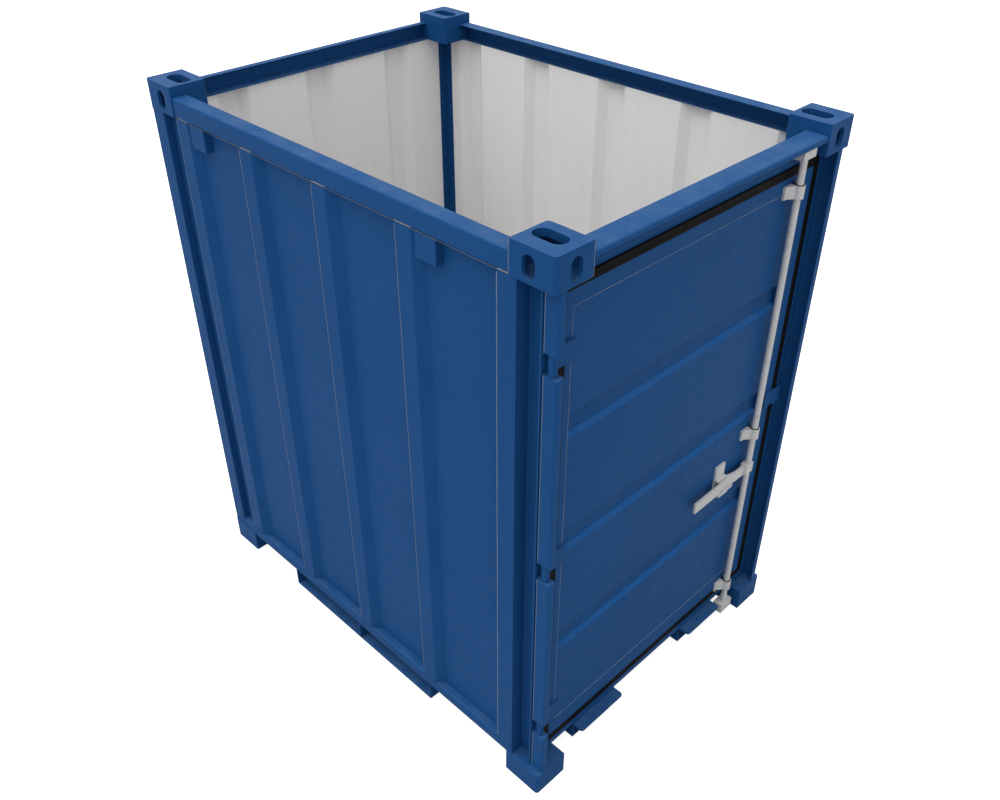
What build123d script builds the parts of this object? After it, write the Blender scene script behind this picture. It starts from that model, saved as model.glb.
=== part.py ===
"""Five-foot steel storage container with an open top and one door in its end.

The origin is at the middle of the base. +X points to the door end, +Y to the lock side and
+Z up. Places are given as a depth behind the door end, a side distance from the hinge side,
and a height.
"""

from build123d import *
import math
import os

os.makedirs("parts", exist_ok=True)

# Overall size over the corner castings
LENGTH = 2200.0
WIDTH = 1600.0
HEIGHT = 2438.0

# How far a cutting block reaches past the faces it cuts through
CUT_MARGIN = 1.0

# Corner castings
CASTING_LENGTH = 178.0
CASTING_WIDTH = 162.0
CASTING_TOP_HEIGHT = 118.0
CASTING_BOTTOM_HEIGHT = 112.0
CASTING_CORNER_RADIUS = 14.0
CASTING_OUTER_WALL = 16.0
CASTING_INNER_WALL = 12.0
CASTING_APERTURE_WALL = 28.0
CASTING_PLAIN_WALL = 12.0
APERTURE_LENGTH = 124.0
APERTURE_WIDTH = 63.5
APERTURE_FROM_END = 101.5
APERTURE_FROM_SIDE = 89.0
SIDE_HOLE_WIDTH = 51.0
SIDE_HOLE_HEIGHT = 79.0
SIDE_HOLE_LEVEL = 52.0

# Posts, rails and the door frame
FRAME_INSET = 5.0
POST_PLATE = 6.0
POST_DEPTH = 157.0
FRAME_FACE = 66.0
POST_WEB_SIDE = 70.0
OPENING_SIDE = 88.0
OPENING_BOTTOM = 168.0
OPENING_TOP_BELOW_CASTING = 150.0
HINGE_PLATE_EDGE = 24.0
TUBE_FRONT = 4.0
TUBE_SIDE = 27.0
TUBE_WIDTH = 36.0
TUBE_RADIUS = 8.0
REAR_POST_LEG = 79.0
REAR_POST_THICKNESS = 37.0
RAIL_PLATE = 4.0
RAIL_TOP_BELOW_CASTING = 42.0
SIDE_RAIL_FLANGE = 64.0
SIDE_RAIL_LEDGE = 37.0
REAR_RAIL_FLANGE = 38.0
REAR_RAIL_LEDGE = 44.0
HEADER_LIP = 20.0
HEADER_LEDGE_BELOW_CASTING = 106.0
HEADER_WEB_DEPTH = 101.0
HEADER_RETURN = 54.0
BASE_RAIL_BOTTOM = 100.0
BASE_RAIL_TOP = 158.0
BASE_RAIL_PLATE = 5.0
BASE_RAIL_LEDGE = 40.0
SILL_GAP = 6.0

# Corrugated walls
SHEET = 2.0
SHEET_BEND = 4.0
CREST_WIDTH = 75.0
CREST_DEPTH = 32.0
CREST_SLOPE = 40.0
CREST_INSET = 6.0
FIRST_BAY = 459.0
BAY_COUNT = 4
LAST_CREST_FROM_REAR = 220.5
REAR_CREST_PITCH = 450.0
REAR_CREST_COUNT = 3
VENT_LENGTH = 96.0
VENT_FROM_CREST = 23.0
VENT_HEIGHT = 95.0

# Floor and fork pockets
FLOOR_TOP = 166.0
FLOOR_THICKNESS = 28.0
FLOOR_GAP = 1.0
CROSS_MEMBER_WIDTH = 50.0
CROSS_MEMBER_PLATE = 4.0
CROSS_MEMBER_GAP = 5.0
POCKET_CLEARANCE = 10.0
POCKET_FLOOR = 5.0
POCKET_WALL = 6.0
POCKET_INNER_WIDTH = 233.0
POCKET_OFFSET = 374.0
POCKET_START = 76.0
POCKET_WEB_DEPTHS = (656.0, 1154.5, 1657.0)
LIP_PLATE_FRONT = 16.0
LIP_PLATE_LENGTH = 114.0
LIP_PLATE_MARGIN = 18.5
LIP_PLATE_THICKNESS = 8.0
LIP_PLATE_RADIUS = 14.0

# Door leaf, in its opening with the gasket round it
DOOR_FACE = 60.0
DOOR_THICKNESS = 45.0
GASKET_GAP = 5.0
GASKET_WIDTH = 27.0
GASKET_TOP_WIDTH = 21.0
GASKET_FRONT = 62.0
GASKET_DEPTH = 20.0
LEFT_STILE = 33.0
RIGHT_STILE = 110.0
TOP_STILE = 57.0
BOTTOM_STILE = 92.0
UPPER_GROOVE_OVER_MIDDLE = 510.5
MIDDLE_GROOVE_OVER_MIDDLE = 5.0
LOWER_GROOVE_UNDER_MIDDLE = 500.0
GROOVE_HEIGHT = 102.0
GROOVE_DEPTH = 17.0

# Hinges
HINGE_SIDE = 45.0
HINGE_DEPTH = 35.0
LOWER_HINGE_OVER_LEAF_END = 166.0
UPPER_HINGE_UNDER_LEAF_END = 202.0
HINGE_GAP = 80.0
HINGE_END_CLEARANCE = 2.0
BARREL_RADIUS = 13.5
PIN_RADIUS = 7.0
PIN_CLEARANCE = 0.05
PIN_IN_TUBE = 30.0
BLADE_THICKNESS = 10.0
BLADE_END_SIDE = 162.0
BLADE_TURN_SIDE = 74.0
BLADE_ROOT = 3.0

# Lock bar with its brackets, hub and lever
ROD_FROM_LOCK_SIDE = 261.0
ROD_DEPTH = 32.0
ROD_RADIUS = 13.5
ROD_CLEARANCE = 0.05
CAM_WIDTH = 81.0
CAM_DEPTH = 48.0
CAM_OFFSET = 3.0
LOWER_CAM_HEIGHT = 50.0
UPPER_CAM_GAP = 6.0
UPPER_CAM_HEIGHT = 32.0
CAM_CLEARANCE = 5.0
LOWER_BRACKET_OVER_LEAF_END = 22.0
MIDDLE_BRACKET_OVER_HANDLE = 183.0
UPPER_BRACKET_UNDER_LEAF_END = 50.0
BRACKET_HEIGHT = 50.0
BRACKET_WALL = 8.0
BRACKET_LEFT = 62.0
BRACKET_RIGHT = 50.0
BRACKET_FOOT = 18.0
BRACKET_FOOT_THICKNESS = 10.0
HUB_LEFT = 36.0
HUB_RIGHT = 16.0
HUB_HALF_DEPTH = 16.0
HANDLE_LEVEL = 940.0
HANDLE_HEIGHT = 50.0
LEVER_THICKNESS = 10.0
LEVER_BEND = 20.0
LEVER_ROUTE = ((32.0, 99.0), (42.0, 144.0), (30.0, 224.0))
LEVER_END = (28.0, 394.0)

# Catch and stop plate on the door
CATCH_FROM_ROD = 224.0
CATCH_WIDTH = 63.0
CATCH_PLATE = 10.0
CATCH_OVER_HANDLE = 103.0
CATCH_UNDER_HANDLE = 50.0
CATCH_SHELF = 10.0
CATCH_GAP = 6.0
CATCH_SHELF_REACH = 28.0
HASP_LENGTH = 89.0
HASP_UNDER_HANDLE = 65.0
HASP_HEIGHT = 36.0
STOP_FROM_LOCK_SIDE = 176.0
STOP_END_FROM_LOCK_SIDE = 74.0
STOP_LEVEL = 1227.5
STOP_HEIGHT = 75.0
STOP_PLATE = 8.0
STOP_JOGGLE = 6.0
STOP_JOGGLE_FROM_LOCK_SIDE = 114.0

# Levels and faces that follow from the sizes above
POST_TOP = HEIGHT - CASTING_TOP_HEIGHT
RAIL_TOP = HEIGHT - RAIL_TOP_BELOW_CASTING
OPENING_TOP = HEIGHT - OPENING_TOP_BELOW_CASTING
HEADER_LEDGE_LEVEL = HEIGHT - HEADER_LEDGE_BELOW_CASTING
SILL_BOTTOM = CASTING_BOTTOM_HEIGHT + SILL_GAP
SHEET_CREST = CREST_INSET + SHEET / 2
SHEET_FLAT = SHEET_CREST + CREST_DEPTH
REAR_POST_END = FRAME_INSET + REAR_POST_LEG
LEAF_LEFT = OPENING_SIDE + GASKET_GAP + GASKET_WIDTH
LEAF_RIGHT = WIDTH - LEAF_LEFT
LEAF_BOTTOM = OPENING_BOTTOM + GASKET_GAP + GASKET_WIDTH
LEAF_TOP = OPENING_TOP - GASKET_GAP - GASKET_TOP_WIDTH
LEAF_BACK = DOOR_FACE + DOOR_THICKNESS
PANEL_LEFT = LEAF_LEFT + LEFT_STILE
PANEL_RIGHT = LEAF_RIGHT - RIGHT_STILE
PANEL_BOTTOM = LEAF_BOTTOM + BOTTOM_STILE
PANEL_TOP = LEAF_TOP - TOP_STILE
PANEL_MIDDLE = (PANEL_BOTTOM + PANEL_TOP) / 2
GROOVE_LEVELS = (
    PANEL_MIDDLE + UPPER_GROOVE_OVER_MIDDLE,
    PANEL_MIDDLE + MIDDLE_GROOVE_OVER_MIDDLE,
    PANEL_MIDDLE - LOWER_GROOVE_UNDER_MIDDLE,
)
LOWER_HINGE_LEVEL = LEAF_BOTTOM + LOWER_HINGE_OVER_LEAF_END
UPPER_HINGE_LEVEL = LEAF_TOP - UPPER_HINGE_UNDER_LEAF_END
HINGE_LEVELS = (LOWER_HINGE_LEVEL, (LOWER_HINGE_LEVEL + UPPER_HINGE_LEVEL) / 2, UPPER_HINGE_LEVEL)
BLADE_HEIGHT = HINGE_GAP - 2 * HINGE_END_CLEARANCE
ROD_SIDE = WIDTH - ROD_FROM_LOCK_SIDE
LOWER_CAM_TOP = SILL_BOTTOM - CAM_CLEARANCE
UPPER_CAM_BOTTOM = HEADER_LEDGE_LEVEL + UPPER_CAM_GAP
BRACKET_LEVELS = (
    LEAF_BOTTOM + LOWER_BRACKET_OVER_LEAF_END,
    HANDLE_LEVEL + MIDDLE_BRACKET_OVER_HANDLE,
    LEAF_TOP - UPPER_BRACKET_UNDER_LEAF_END,
)
CATCH_SIDE = ROD_SIDE - CATCH_FROM_ROD
CATCH_TOP = HANDLE_LEVEL + CATCH_OVER_HANDLE
CATCH_BOTTOM = HANDLE_LEVEL - CATCH_UNDER_HANDLE
HASP_LEVEL = HANDLE_LEVEL - HASP_UNDER_HANDLE
STOP_SIDE = WIDTH - STOP_FROM_LOCK_SIDE
STOP_JOGGLE_SIDE = WIDTH - STOP_JOGGLE_FROM_LOCK_SIDE
STOP_END_SIDE = WIDTH - STOP_END_FROM_LOCK_SIDE
POCKET_BASE = POCKET_CLEARANCE + POCKET_FLOOR
POCKET_TOP = SILL_BOTTOM - LIP_PLATE_THICKNESS
FLOOR_BOTTOM = FLOOR_TOP - FLOOR_THICKNESS
CROSS_MEMBER_BOTTOM = BASE_RAIL_BOTTOM + BASE_RAIL_PLATE + CROSS_MEMBER_GAP
CAM_SWEEP = math.hypot(CAM_WIDTH / 2, CAM_DEPTH / 2 + CAM_OFFSET) + CAM_CLEARANCE


def at(depth, side):
    """Plan position of a depth behind the door end and a distance from the hinge side."""
    return (LENGTH / 2 - depth, side - WIDTH / 2)


def block(depths, sides, levels):
    """A box between two depths, two sides and two levels."""
    near_x, low_y = at(depths[0], sides[0])
    far_x, high_y = at(depths[1], sides[1])
    middle = Pos((near_x + far_x) / 2, (low_y + high_y) / 2, (levels[0] + levels[1]) / 2)
    return middle * Box(near_x - far_x, high_y - low_y, levels[1] - levels[0])


def upright(outline, low, high):
    """A plan outline raised from one level to another."""
    return extrude(Pos(0, 0, low) * outline, amount=high - low, dir=(0, 0, 1))


def across(outline, low_side, high_side):
    """A section drawn in depth and level, run across the width between two sides."""
    flat = Plane(origin=(LENGTH / 2, low_side - WIDTH / 2, 0), x_dir=(-1, 0, 0), z_dir=(0, 1, 0))
    return extrude(flat * outline, amount=high_side - low_side, dir=(0, 1, 0))


def along(outline, near_depth, far_depth):
    """A section drawn in side and level, run along the length between two depths."""
    flat = Plane(origin=(LENGTH / 2 - far_depth, -WIDTH / 2, 0), x_dir=(0, 1, 0), z_dir=(1, 0, 0))
    return extrude(flat * outline, amount=far_depth - near_depth, dir=(1, 0, 0))


def plan(points):
    """Plan points from pairs of depth and side."""
    return [at(depth, side) for depth, side in points]


def filled(points):
    """The face inside a closed run of straight lines."""
    return make_face(Polyline(*points, close=True))


def sideways(path, amount):
    """A path moved to its left by an amount, with mitred corners."""
    normals = []
    for start, end in zip(path, path[1:]):
        run = math.hypot(end[0] - start[0], end[1] - start[1])
        normals.append(((start[1] - end[1]) / run, (end[0] - start[0]) / run))
    moved = []
    for index, (u, v) in enumerate(path):
        before = normals[max(index - 1, 0)]
        after = normals[min(index, len(normals) - 1)]
        share = amount / (1 + before[0] * after[0] + before[1] * after[1])
        moved.append((u + (before[0] + after[0]) * share, v + (before[1] + after[1]) * share))
    return moved


def turns_left(path):
    """For each inner corner of a path, whether it turns to the left."""
    corners = []
    for before, corner, after in zip(path, path[1:], path[2:]):
        one = (corner[0] - before[0], corner[1] - before[1])
        two = (after[0] - corner[0], after[1] - corner[1])
        corners.append(one[0] * two[1] - one[1] * two[0] > 0)
    return corners


def folded(path, thickness, bend):
    """The section of a folded plate about its middle line, with one inner bend radius."""
    sides = []
    for hand in (1, -1):
        line = sideways(path, hand * thickness / 2)
        radii = [bend if left == (hand > 0) else bend + thickness for left in turns_left(path)]
        sides.append(FilletPolyline(*line, radius=radii) if radii else Polyline(*line))
    caps = [Line(sides[0] @ end, sides[1] @ end) for end in (0, 1)]
    return make_face(sides[0] + caps[0] + sides[1] + caps[1])


def mirrored(shape):
    """The same piece on the other side of the container."""
    return mirror(shape, about=Plane.XZ)


def to_rear(shape):
    """The same piece at the other end of the container."""
    return mirror(shape, about=Plane.YZ)


def casting(height, aperture_on_top):
    """A corner casting at the door end of the hinge side, with its base at level zero."""
    body = block((0, CASTING_LENGTH), (0, CASTING_WIDTH), (0, height))
    outer_corner = body.edges().filter_by(Axis.Z).sort_by(lambda e: e.center().Y - e.center().X)
    body = fillet([outer_corner[0], outer_corner[-1]], CASTING_CORNER_RADIUS)
    top_wall = CASTING_APERTURE_WALL if aperture_on_top else CASTING_PLAIN_WALL
    bottom_wall = CASTING_PLAIN_WALL if aperture_on_top else CASTING_APERTURE_WALL
    body -= block(
        (CASTING_OUTER_WALL, CASTING_LENGTH - CASTING_INNER_WALL),
        (CASTING_OUTER_WALL, CASTING_WIDTH - CASTING_INNER_WALL),
        (bottom_wall, height - top_wall),
    )
    x, y = at(APERTURE_FROM_END, APERTURE_FROM_SIDE)
    slot = Pos(x, y) * SlotOverall(APERTURE_LENGTH, APERTURE_WIDTH)
    if not aperture_on_top:
        return body - upright(slot, 0, bottom_wall)
    body -= upright(slot, height - top_wall, height)
    hole = Rot(0, 0, 90) * SlotOverall(SIDE_HOLE_HEIGHT, SIDE_HOLE_WIDTH)
    body -= across(Pos(APERTURE_FROM_END, SIDE_HOLE_LEVEL) * hole, 0, CASTING_OUTER_WALL)
    return body - along(Pos(APERTURE_FROM_SIDE, SIDE_HOLE_LEVEL) * hole, 0, CASTING_OUTER_WALL)


def corner_castings():
    """The eight castings, by node name."""
    top = Pos(0, 0, POST_TOP) * casting(CASTING_TOP_HEIGHT, True)
    bottom = casting(CASTING_BOTTOM_HEIGHT, False)
    made = {}
    for level, piece in (("top", top), ("bottom", bottom)):
        made[f"{level}_casting_door_left"] = piece
        made[f"{level}_casting_door_right"] = mirrored(piece)
        made[f"{level}_casting_rear_left"] = to_rear(piece)
        made[f"{level}_casting_rear_right"] = to_rear(mirrored(piece))
    return made


def casting_space(levels):
    """The four corner columns that the castings fill between two levels."""
    near = block((-CUT_MARGIN, CASTING_LENGTH), (-CUT_MARGIN, CASTING_WIDTH), levels)
    pair = [near, mirrored(near)]
    return pair + [to_rear(piece) for piece in pair]


def post_web():
    """Section of the web and return flange behind a door post's face plate."""
    back = POST_DEPTH - POST_PLATE / 2
    path = [(FRAME_FACE + POST_PLATE, POST_WEB_SIDE), (back, POST_WEB_SIDE), (back, FRAME_INSET)]
    return folded(plan(path), POST_PLATE, POST_PLATE)


def hinge_post():
    """The pressed channel beside the hinges."""
    face = block(
        (FRAME_FACE, FRAME_FACE + POST_PLATE),
        (HINGE_PLATE_EDGE, OPENING_SIDE),
        (CASTING_BOTTOM_HEIGHT, POST_TOP),
    )
    return face + upright(post_web(), CASTING_BOTTOM_HEIGHT, POST_TOP)


def lock_post():
    """The pressed channel beside the lock bar, with its front lip."""
    lip = TUBE_FRONT + POST_PLATE / 2
    face = FRAME_FACE + POST_PLATE / 2
    side = TUBE_SIDE + POST_PLATE / 2
    path = [(lip, TUBE_SIDE + TUBE_WIDTH), (lip, side), (face, side), (face, OPENING_SIDE)]
    front = folded(plan(path), POST_PLATE, POST_PLATE)
    section = front + post_web()
    return mirrored(upright(section, CASTING_BOTTOM_HEIGHT, POST_TOP))


def hinge_spans():
    """Lowest and highest level of each gap that a hinge turns in."""
    return [(level - HINGE_GAP / 2, level + HINGE_GAP / 2) for level in HINGE_LEVELS]


def hinge_tubes():
    """The front tube of the hinge post, cut at each hinge and bored for the pins."""
    x, y = at((TUBE_FRONT + FRAME_FACE) / 2, TUBE_SIDE + TUBE_WIDTH / 2)
    section = Pos(x, y) * RectangleRounded(FRAME_FACE - TUBE_FRONT, TUBE_WIDTH, TUBE_RADIUS)
    tube = upright(section, CASTING_BOTTOM_HEIGHT, POST_TOP)
    hole = Pos(*at(HINGE_DEPTH, HINGE_SIDE)) * Circle(PIN_RADIUS + PIN_CLEARANCE)
    for low, high in hinge_spans():
        gap = block(
            (TUBE_FRONT - CUT_MARGIN, FRAME_FACE + CUT_MARGIN),
            (TUBE_SIDE - CUT_MARGIN, TUBE_SIDE + TUBE_WIDTH + CUT_MARGIN),
            (low, high),
        )
        tube = tube - gap - upright(hole, low - PIN_IN_TUBE, high + PIN_IN_TUBE)
    return tube


def hinge_pins():
    """One pin through each hinge, with both ends in the tube."""
    pin = Pos(*at(HINGE_DEPTH, HINGE_SIDE)) * Circle(PIN_RADIUS)
    spans = hinge_spans()
    return Compound([upright(pin, low - PIN_IN_TUBE, high + PIN_IN_TUBE) for low, high in spans])


def hinge_blade(level):
    """A barrel round the pin and the flat blade that carries the door from it."""
    front = DOOR_FACE - BLADE_THICKNESS
    blade = filled(plan([
        (DOOR_FACE, HINGE_SIDE),
        (DOOR_FACE, BLADE_END_SIDE),
        (front, BLADE_END_SIDE),
        (front, BLADE_TURN_SIDE),
        (HINGE_DEPTH - BLADE_ROOT, HINGE_SIDE + BARREL_RADIUS - BLADE_ROOT),
        (HINGE_DEPTH, HINGE_SIDE),
    ]))
    centre = Pos(*at(HINGE_DEPTH, HINGE_SIDE))
    section = centre * Circle(BARREL_RADIUS) + blade
    section -= centre * Circle(PIN_RADIUS + PIN_CLEARANCE)
    return upright(section, level - BLADE_HEIGHT / 2, level + BLADE_HEIGHT / 2)


def rear_post():
    """The hollow angle post at the rear of the hinge side."""
    end = REAR_POST_END
    inner = FRAME_INSET + REAR_POST_THICKNESS
    points = [
        (FRAME_INSET, FRAME_INSET), (end, FRAME_INSET), (end, inner),
        (inner, inner), (inner, end), (FRAME_INSET, end),
    ]
    outline = filled([at(LENGTH - depth, side) for depth, side in points])
    hollow = offset(outline, amount=-POST_PLATE)
    return upright(outline - hollow, CASTING_BOTTOM_HEIGHT, POST_TOP)


def top_side_rail():
    """The folded top rail between the castings of the hinge side."""
    web = FRAME_INSET + RAIL_PLATE / 2
    top = RAIL_TOP - RAIL_PLATE / 2
    bottom = POST_TOP + RAIL_PLATE / 2
    path = [
        (FRAME_INSET + SIDE_RAIL_FLANGE, top), (web, top),
        (web, bottom), (FRAME_INSET + SIDE_RAIL_LEDGE, bottom),
    ]
    return along(folded(path, RAIL_PLATE, RAIL_PLATE), CASTING_LENGTH, LENGTH - CASTING_LENGTH)


def top_rear_rail():
    """The folded top rail between the rear castings."""
    web = LENGTH - FRAME_INSET - RAIL_PLATE / 2
    top = RAIL_TOP - RAIL_PLATE / 2
    bottom = POST_TOP + RAIL_PLATE / 2
    path = [
        (LENGTH - FRAME_INSET - REAR_RAIL_FLANGE, top), (web, top),
        (web, bottom), (LENGTH - FRAME_INSET - REAR_RAIL_LEDGE, bottom),
    ]
    return across(folded(path, RAIL_PLATE, RAIL_PLATE), CASTING_WIDTH, WIDTH - CASTING_WIDTH)


def header():
    """The folded header, recessed above its ledge so that the upper cam can turn."""
    half = POST_PLATE / 2
    lip = TUBE_FRONT + half
    top = RAIL_TOP - half
    web = HEADER_WEB_DEPTH - half
    ledge = HEADER_LEDGE_LEVEL - half
    face = FRAME_FACE + half
    bottom = OPENING_TOP + half
    path = [
        (lip, RAIL_TOP - HEADER_LIP), (lip, top), (web, top), (web, ledge),
        (face, ledge), (face, bottom), (FRAME_FACE + HEADER_RETURN, bottom),
    ]
    beam = across(folded(path, POST_PLATE, half), OPENING_SIDE, WIDTH - OPENING_SIDE)
    return beam - casting_space((POST_TOP, HEIGHT))


def front_sill():
    """The folded sill under the door, with the threshold running back to the floor."""
    half = POST_PLATE / 2
    face = FRAME_FACE + half
    path = [
        (FRAME_FACE + HEADER_RETURN, SILL_BOTTOM + half), (face, SILL_BOTTOM + half),
        (face, OPENING_BOTTOM - half), (POST_DEPTH, OPENING_BOTTOM - half),
    ]
    return across(folded(path, POST_PLATE, half), OPENING_SIDE, WIDTH - OPENING_SIDE)


def base_rail_path(low):
    """Path of a base rail, as distances inward from the outside and levels."""
    half = BASE_RAIL_PLATE / 2
    inner = FRAME_INSET + BASE_RAIL_LEDGE
    web = FRAME_INSET + half
    return [
        (inner, BASE_RAIL_TOP - half), (web, BASE_RAIL_TOP - half),
        (web, low + half), (inner, low + half),
    ]


def base_side_rail():
    """The folded base rail of the hinge side, notched over the castings."""
    section = folded(base_rail_path(BASE_RAIL_BOTTOM), BASE_RAIL_PLATE, BASE_RAIL_PLATE)
    rail = along(section, POST_DEPTH, LENGTH - REAR_POST_END)
    return rail - casting_space((0, CASTING_BOTTOM_HEIGHT))


def rear_sill():
    """The folded base rail between the rear posts."""
    path = [(LENGTH - inward, level) for inward, level in base_rail_path(SILL_BOTTOM)]
    return across(folded(path, BASE_RAIL_PLATE, BASE_RAIL_PLATE), REAR_POST_END, WIDTH - REAR_POST_END)


def crest(middle):
    """Path of one outward crest of a wall, from the flat before it to the flat after it."""
    half = CREST_WIDTH / 2
    return [
        (middle - half - CREST_SLOPE, SHEET_FLAT), (middle - half, SHEET_CREST),
        (middle + half, SHEET_CREST), (middle + half + CREST_SLOPE, SHEET_FLAT),
    ]


def side_crest_middles():
    """Depths of the crests of a side wall, the first against the door post."""
    first = POST_DEPTH + CREST_WIDTH / 2
    second = first + FIRST_BAY
    step = (LENGTH - LAST_CREST_FROM_REAR - second) / (BAY_COUNT - 1)
    return [first] + [second + step * bay for bay in range(BAY_COUNT)]


def side_wall():
    """The corrugated sheet of the hinge side, from the door post to the rear post."""
    first, *others = side_crest_middles()
    path = [(POST_DEPTH, SHEET_CREST)] + crest(first)[2:]
    for middle in others:
        path += crest(middle)
    path.append((LENGTH - REAR_POST_END, SHEET_FLAT))
    return upright(folded(plan(path), SHEET, SHEET_BEND), BASE_RAIL_TOP, POST_TOP)


def rear_wall():
    """The corrugated sheet between the rear posts."""
    path = [(REAR_POST_END, SHEET_FLAT)]
    for index in range(REAR_CREST_COUNT):
        path += crest(WIDTH / 2 + (index - (REAR_CREST_COUNT - 1) / 2) * REAR_CREST_PITCH)
    path.append((WIDTH - REAR_POST_END, SHEET_FLAT))
    points = [at(LENGTH - inward, side) for side, inward in path]
    return upright(folded(points, SHEET, SHEET_BEND), BASE_RAIL_TOP, POST_TOP)


def vent_covers():
    """Two box covers in the flats under the top rail of the hinge side."""
    wall = side_wall()
    middles = side_crest_middles()
    covers = []
    for middle in (middles[1], middles[-1]):
        end = middle - CREST_WIDTH / 2 - VENT_FROM_CREST
        cover = block((end - VENT_LENGTH, end), (CREST_INSET, SHEET_FLAT), (POST_TOP - VENT_HEIGHT, POST_TOP))
        pieces = (cover - wall).solids().sort_by(SortBy.VOLUME)
        covers.append(pieces[-1])
    return Compound(covers)


def floor_board():
    """The plywood floor between the base rails."""
    inner = FRAME_INSET + BASE_RAIL_LEDGE + FLOOR_GAP
    depths = (POST_DEPTH + FLOOR_GAP, LENGTH - inner)
    return block(depths, (inner, WIDTH - inner), (FLOOR_BOTTOM, FLOOR_TOP))


def cross_member_depths():
    """Middles of the cross-members: two in each end bay and one in each middle bay."""
    first, middle, last = POCKET_WEB_DEPTHS
    depths = []
    for near, far in ((CASTING_LENGTH, first), (last + POCKET_WALL, LENGTH - CASTING_LENGTH)):
        depths += [near + (far - near) / 3, near + 2 * (far - near) / 3]
    return sorted(depths + [(first + middle) / 2, (middle + last) / 2])


def cross_members():
    """Channels under the floor, between the webs of the base rails."""
    end = FRAME_INSET + BASE_RAIL_PLATE
    half = CROSS_MEMBER_PLATE / 2
    made = []
    for depth in cross_member_depths():
        near = depth - CROSS_MEMBER_WIDTH / 2 + half
        far = depth + CROSS_MEMBER_WIDTH / 2
        path = [
            (far, FLOOR_BOTTOM - half), (near, FLOOR_BOTTOM - half),
            (near, CROSS_MEMBER_BOTTOM + half), (far, CROSS_MEMBER_BOTTOM + half),
        ]
        made.append(across(folded(path, CROSS_MEMBER_PLATE, half), end, WIDTH - end))
    return Compound(made)


def pocket_sides(middle_offset):
    """Inner faces of a lengthwise fork pocket whose middle is offset from the centre line."""
    middle = WIDTH / 2 + middle_offset
    return (middle - POCKET_INNER_WIDTH / 2, middle + POCKET_INNER_WIDTH / 2)


def pocket_web(depth, pierced):
    """A cross web of the side fork pockets, let into the base rails."""
    span = (depth, depth + POCKET_WALL)
    rail_inner = FRAME_INSET + BASE_RAIL_LEDGE
    rail_web = FRAME_INSET + 2 * BASE_RAIL_PLATE
    rail_foot = BASE_RAIL_BOTTOM + BASE_RAIL_PLATE
    web = block(span, (FRAME_INSET, WIDTH - FRAME_INSET), (POCKET_BASE, BASE_RAIL_BOTTOM))
    web += block(span, (rail_inner, WIDTH - rail_inner), (BASE_RAIL_BOTTOM, rail_foot))
    web += block(span, (rail_web, WIDTH - rail_web), (rail_foot, FLOOR_BOTTOM))
    if pierced:
        cut = (span[0] - CUT_MARGIN, span[1] + CUT_MARGIN)
        for offset_side in (-POCKET_OFFSET, POCKET_OFFSET):
            web -= block(cut, pocket_sides(offset_side), (POCKET_BASE, POCKET_TOP))
    return web


def pocket_plate():
    """The bottom plate under the side fork pockets."""
    depths = (POCKET_WEB_DEPTHS[0], POCKET_WEB_DEPTHS[-1] + POCKET_WALL)
    return block(depths, (FRAME_INSET, WIDTH - FRAME_INSET), (POCKET_CLEARANCE, POCKET_BASE))


def end_pocket(low, high, near, far):
    """An open channel for a fork between an end and the nearest cross web."""
    base = block((near, far), (low - POCKET_WALL, high + POCKET_WALL), (POCKET_CLEARANCE, POCKET_BASE))
    left = block((near, far), (low - POCKET_WALL, low), (POCKET_BASE, POCKET_TOP))
    right = block((near, far), (high, high + POCKET_WALL), (POCKET_BASE, POCKET_TOP))
    return base + left + right


def lip_plate(low, high, near, far):
    """The guide plate over the mouth of an end pocket, with rounded outer corners."""
    plate = block((near, far), (low, high), (POCKET_TOP, SILL_BOTTOM))
    outer = plate.edges().filter_by(Axis.Z).sort_by(Axis.X)
    pair = outer[-2:] if near < LENGTH / 2 else outer[:2]
    return fillet(pair, LIP_PLATE_RADIUS)


def end_pockets():
    """Channels and lip plates at both ends, by node name."""
    made = {}
    ends = {
        "front": (POCKET_START, POCKET_WEB_DEPTHS[0]),
        "rear": (POCKET_WEB_DEPTHS[-1] + POCKET_WALL, LENGTH - FRAME_INSET - LIP_PLATE_FRONT),
    }
    lips = {
        "front": (LIP_PLATE_FRONT, LIP_PLATE_FRONT + LIP_PLATE_LENGTH),
        "rear": (LENGTH - FRAME_INSET - LIP_PLATE_LENGTH, LENGTH - FRAME_INSET),
    }
    for end, (near, far) in ends.items():
        plates = []
        for hand, offset_side in (("left", -POCKET_OFFSET), ("right", POCKET_OFFSET)):
            low, high = pocket_sides(offset_side)
            made[f"{end}_fork_pocket_{hand}"] = end_pocket(low, high, near, far)
            high_edge = high + LIP_PLATE_MARGIN
            if end == "front":
                high_edge = min(high_edge, ROD_SIDE - CAM_SWEEP)
            plates.append(lip_plate(low - LIP_PLATE_MARGIN, high_edge, *lips[end]))
        made[f"{end}_lip_plates"] = Compound(plates)
    return made


def leaf_members():
    """The four members of the door leaf's frame, by node name."""
    depths = (DOOR_FACE, LEAF_BACK)
    members = {
        "door_left_stile": block(depths, (LEAF_LEFT, PANEL_LEFT), (LEAF_BOTTOM, LEAF_TOP)),
        "door_right_stile": block(depths, (PANEL_RIGHT, LEAF_RIGHT), (LEAF_BOTTOM, LEAF_TOP)),
        "door_top_rail": block(depths, (PANEL_LEFT, PANEL_RIGHT), (PANEL_TOP, LEAF_TOP)),
        "door_bottom_rail": block(depths, (PANEL_LEFT, PANEL_RIGHT), (LEAF_BOTTOM, PANEL_BOTTOM)),
    }
    return members


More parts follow.
